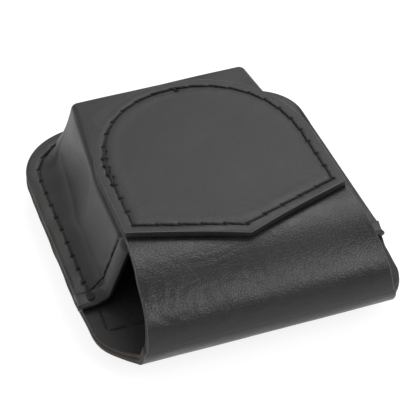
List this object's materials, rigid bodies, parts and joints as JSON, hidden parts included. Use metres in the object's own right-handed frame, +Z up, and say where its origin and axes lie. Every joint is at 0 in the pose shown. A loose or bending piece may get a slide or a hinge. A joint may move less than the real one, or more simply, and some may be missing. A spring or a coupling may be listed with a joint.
{
  "type": "leather belt pouch",
  "caption": "Small black leather belt pouch lying on its back, with a moulded pocket, a stitched flange, an over-the-end flap with a stitched shield, and a belt loop.",
  "frame": {"origin": "centre of the bounding box at the ground, under the belt loop", "axes": "+Z up, away from the belt; +Y from the flap's fold to the pocket's closed end; +X across, to the right when looking along +Y"},
  "size_m": [0.076, 0.0898, 0.029],
  "materials": {
    "black_leather": "smooth black leather with a satin sheen and fine creases",
    "black_lining": "matt black leather, flesh side in",
    "black_thread": "waxed black sewing thread",
    "magnet_plating": "dull nickel plating"
  },
  "bodies": {
    "pouch": {"back_outer": "black_leather", "back_lining": "black_lining", "moulded_pocket": "black_leather", "mouth_facing": "black_lining", "belt_loop": "black_leather", "pocket_magnet": "magnet_plating", "magnet_patch": "black_lining", "flange_seam": "black_thread", "lining_seam": "black_thread", "under_seam": "black_thread", "hem_seam": "black_thread", "seam_knots": "black_thread", "loop_seam": "black_thread"},
    "flap_front": {"flap_front_outer": "black_leather", "flap_front_lining": "black_lining"},
    "flap_top": {"flap_top_outer": "black_leather", "flap_top_lining": "black_lining", "flap_shield": "black_leather", "flap_magnet": "magnet_plating", "shield_seam": "black_thread", "shield_under_seam": "black_thread"}
  },
  "joints": [
    {"name": "flap_fold", "type": "hinge", "parent": "pouch", "child": "flap_front", "pos_m": [0, -0.04272, 0.00818], "axis": [1, 0, 0], "range_deg": [0, 85], "stiffness_Nm_per_rad": 0.004},
    {"name": "flap_curl", "type": "hinge", "parent": "flap_front", "child": "flap_top", "pos_m": [0, -0.04059, 0.01998], "axis": [1, 0, 0], "range_deg": [0, 70], "stiffness_Nm_per_rad": 0.003}
  ]
}
